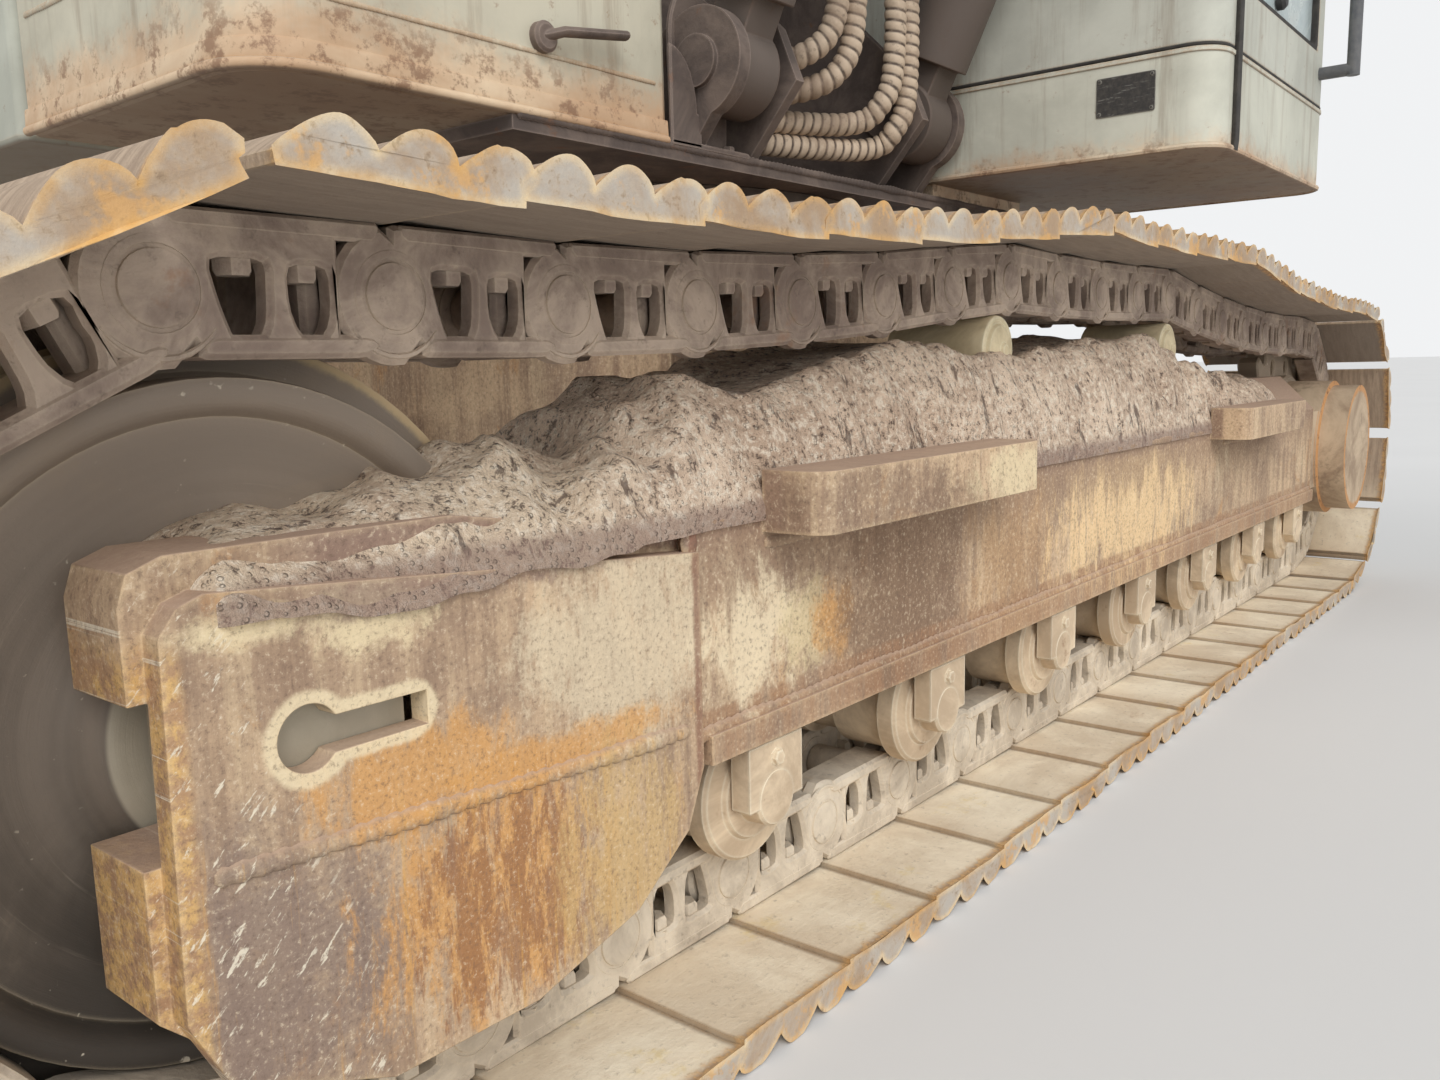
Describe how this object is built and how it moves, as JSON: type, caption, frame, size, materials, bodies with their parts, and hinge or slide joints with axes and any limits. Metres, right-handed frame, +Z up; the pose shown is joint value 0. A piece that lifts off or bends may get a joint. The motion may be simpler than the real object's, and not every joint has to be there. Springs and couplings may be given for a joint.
{
  "type": "crawler excavator",
  "caption": "Thirty-tonne crawler excavator on triple-grouser tracks, its house turned square to them, with boom, arm, bucket, cab and opening covers.",
  "frame": {"origin": "on the ground under the swing centre", "axes": "+Z up; tracks along X with the sprockets at +X; the house, cab and boom face -Y, the cab on the +X side"},
  "size_m": [4.6191, 9.8928, 5.5773],
  "materials": {
    "car_body": "weathered paint under dried mud",
    "slew_ring": "brown rusted steel",
    "track_frame_left": "weathered paint under dried mud",
    "track_frame_right": "weathered paint under dried mud",
    "track_left": "brown rusted steel",
    "track_right": "brown rusted steel",
    "idler_left": "brown rusted steel",
    "idler_right": "brown rusted steel",
    "sprocket_left": "brown rusted steel",
    "sprocket_right": "brown rusted steel",
    "final_drive_left": "weathered paint under dried mud",
    "final_drive_right": "weathered paint under dried mud",
    "rollers_left": "brown rusted steel",
    "rollers_right": "brown rusted steel",
    "revolving_frame": "faded grey-green paint",
    "deck_box": "faded grey-green paint",
    "tanks": "faded grey-green paint",
    "side_box_left": "faded grey-green paint",
    "side_box_right": "faded grey-green paint",
    "engine_block": "rusted",
    "exhaust_stack": "rusted",
    "counterweight": "faded grey-green paint",
    "cab_base": "faded grey-green paint",
    "cab_shell": "faded grey-green paint",
    "cab_glass": "clear tinted glass",
    "operator_seat": "dark woven cloth",
    "handrails": "faded grey-green paint",
    "boom_hoses": "hose in worn spiral wrap",
    "deck_box_lid": "faded grey-green paint",
    "engine_hood": "faded grey-green paint",
    "side_door_left": "faded grey-green paint",
    "side_door_right": "faded grey-green paint",
    "cab_door": "faded grey-green paint",
    "cab_door_glass": "clear tinted glass",
    "boom": "faded grey-green paint",
    "arm": "faded grey-green paint",
    "bucket": "worn brown steel",
    "bucket_rocker": "worn brown steel",
    "bucket_link": "worn brown steel",
    "boom_cylinder_barrels": "faded grey-green paint",
    "boom_cylinder_rods": "hard chrome rod",
    "arm_cylinder_barrel": "faded grey-green paint",
    "arm_cylinder_rod": "hard chrome rod",
    "bucket_cylinder_barrel": "faded grey-green paint",
    "bucket_cylinder_rod": "hard chrome rod"
  },
  "bodies": {
    "undercarriage": {"car_body": "car_body", "slew_ring": "slew_ring", "track_frame_left": "track_frame_left", "track_frame_right": "track_frame_right", "track_left": "track_left", "track_right": "track_right", "idler_left": "idler_left", "idler_right": "idler_right", "sprocket_left": "sprocket_left", "sprocket_right": "sprocket_right", "final_drive_left": "final_drive_left", "final_drive_right": "final_drive_right", "rollers_left": "rollers_left", "rollers_right": "rollers_right"},
    "house": {"revolving_frame": "revolving_frame", "deck_box": "deck_box", "tanks": "tanks", "side_box_left": "side_box_left", "side_box_right": "side_box_right", "engine_block": "engine_block", "exhaust_stack": "exhaust_stack", "counterweight": "counterweight", "cab_base": "cab_base", "cab_shell": "cab_shell", "cab_glass": "cab_glass", "operator_seat": "operator_seat", "handrails": "handrails", "boom_hoses": "boom_hoses"},
    "deck_box_lid": {"deck_box_lid": "deck_box_lid"},
    "engine_hood": {"engine_hood": "engine_hood"},
    "side_door_left": {"side_door_left": "side_door_left"},
    "side_door_right": {"side_door_right": "side_door_right"},
    "cab_door": {"cab_door": "cab_door", "cab_door_glass": "cab_door_glass"},
    "boom": {"boom": "boom"},
    "arm": {"arm": "arm"},
    "bucket": {"bucket": "bucket"},
    "bucket_rocker": {"bucket_rocker": "bucket_rocker"},
    "bucket_link": {"bucket_link": "bucket_link"},
    "boom_cylinder_barrels": {"boom_cylinder_barrels": "boom_cylinder_barrels"},
    "boom_cylinder_rods": {"boom_cylinder_rods": "boom_cylinder_rods"},
    "arm_cylinder_barrel": {"arm_cylinder_barrel": "arm_cylinder_barrel"},
    "arm_cylinder_rod": {"arm_cylinder_rod": "arm_cylinder_rod"},
    "bucket_cylinder_barrel": {"bucket_cylinder_barrel": "bucket_cylinder_barrel"},
    "bucket_cylinder_rod": {"bucket_cylinder_rod": "bucket_cylinder_rod"}
  },
  "joints": [
    {"name": "swing", "type": "hinge", "parent": "undercarriage", "child": "house", "pos_m": [0, 0, 0], "axis": [0, 0, 1], "continuous": true},
    {"name": "boom_lift", "type": "hinge", "parent": "house", "child": "boom", "pos_m": [-0.06, -0.25, 1.95], "axis": [-1, 0, 0], "range_deg": [-70, 33], "deforming": ["boom_hoses"]},
    {"name": "arm_swing", "type": "hinge", "parent": "boom", "child": "arm", "pos_m": [-0.06, -5.77424, 4.76474], "axis": [1, 0, 0], "range_deg": [-97, 22]},
    {"name": "bucket_curl", "type": "hinge", "parent": "arm", "child": "bucket", "pos_m": [-0.06, -5.50406, 1.67654], "axis": [1, 0, 0], "range_deg": [-43, 128]},
    {"name": "boom_cylinder_tilt", "type": "hinge", "parent": "house", "child": "boom_cylinder_barrels", "pos_m": [-0.06, -0.8, 1.36], "axis": [-1, 0, 0], "range_deg": [-70.3, 33.67]},
    {"name": "boom_cylinder_stroke", "type": "slide", "parent": "boom_cylinder_barrels", "child": "boom_cylinder_rods", "axis": [0, -0.4468, 0.8946], "range_m": [-0.8714, 0.4129]},
    {"name": "arm_cylinder_tilt", "type": "hinge", "parent": "boom", "child": "arm_cylinder_barrel", "pos_m": [-0.06, -2.37533, 4.7164], "axis": [1, 0, 0], "range_deg": [-4.4, 1.77]},
    {"name": "arm_cylinder_stroke", "type": "slide", "parent": "arm_cylinder_barrel", "child": "arm_cylinder_rod", "axis": [0, -0.9819, 0.1894], "range_m": [-1.2229, 0.2805]},
    {"name": "bucket_rocker_turn", "type": "hinge", "parent": "arm", "child": "bucket_rocker", "pos_m": [-0.06, -5.57055, 2.09232], "axis": [1, 0, 0], "range_deg": [-33.03, 96.36]},
    {"name": "bucket_link_turn", "type": "hinge", "parent": "bucket_rocker", "child": "bucket_link", "pos_m": [-0.06, -6.15695, 2.29366], "axis": [1, 0, 0], "range_deg": [-54.76, 19.06]},
    {"name": "bucket_cylinder_tilt", "type": "hinge", "parent": "arm", "child": "bucket_cylinder_barrel", "pos_m": [-0.06, -6.44792, 4.20389], "axis": [1, 0, 0], "range_deg": [-2.28, 1.43]},
    {"name": "bucket_cylinder_stroke", "type": "slide", "parent": "bucket_cylinder_barrel", "child": "bucket_cylinder_rod", "axis": [0, 0.1506, -0.9886], "range_m": [-0.2929, 0.8641]},
    {"name": "cab_door_swing", "type": "hinge", "parent": "house", "child": "cab_door", "pos_m": [1.5045, -0.01, 2.2], "axis": [0, 0, 1], "range_deg": [0, 165]},
    {"name": "deck_box_lid_lift", "type": "hinge", "parent": "house", "child": "deck_box_lid", "pos_m": [-1.0375, -0.064, 1.6705], "axis": [-1, 0, 0], "range_deg": [0, 90]},
    {"name": "engine_hood_lift", "type": "hinge", "parent": "house", "child": "engine_hood", "pos_m": [0, 1.358, 2.31], "axis": [1, 0, 0], "range_deg": [0, 70]},
    {"name": "side_door_left_swing", "type": "hinge", "parent": "house", "child": "side_door_left", "pos_m": [1.4965, 2.21, 1.69], "axis": [0, 0, 1], "range_deg": [0, 110]},
    {"name": "side_door_right_swing", "type": "hinge", "parent": "house", "child": "side_door_right", "pos_m": [-1.4965, 2.21, 1.69], "axis": [0, 0, -1], "range_deg": [0, 110]}
  ],
  "couplings": [
    {"joint": "boom_cylinder_tilt", "follows": "boom_lift", "ratio": 0.99},
    {"joint": "boom_cylinder_stroke", "follows": "boom_lift", "m_per_rad": 0.71},
    {"joint": "arm_cylinder_tilt", "follows": "arm_swing", "ratio": 0.035},
    {"joint": "arm_cylinder_stroke", "follows": "arm_swing", "m_per_rad": 0.72},
    {"joint": "bucket_rocker_turn", "follows": "bucket_curl", "ratio": 0.745},
    {"joint": "bucket_link_turn", "follows": "bucket_curl", "ratio": -0.42},
    {"joint": "bucket_cylinder_tilt", "follows": "bucket_curl", "ratio": -0.01},
    {"joint": "bucket_cylinder_stroke", "follows": "bucket_curl", "m_per_rad": 0.385}
  ]
}
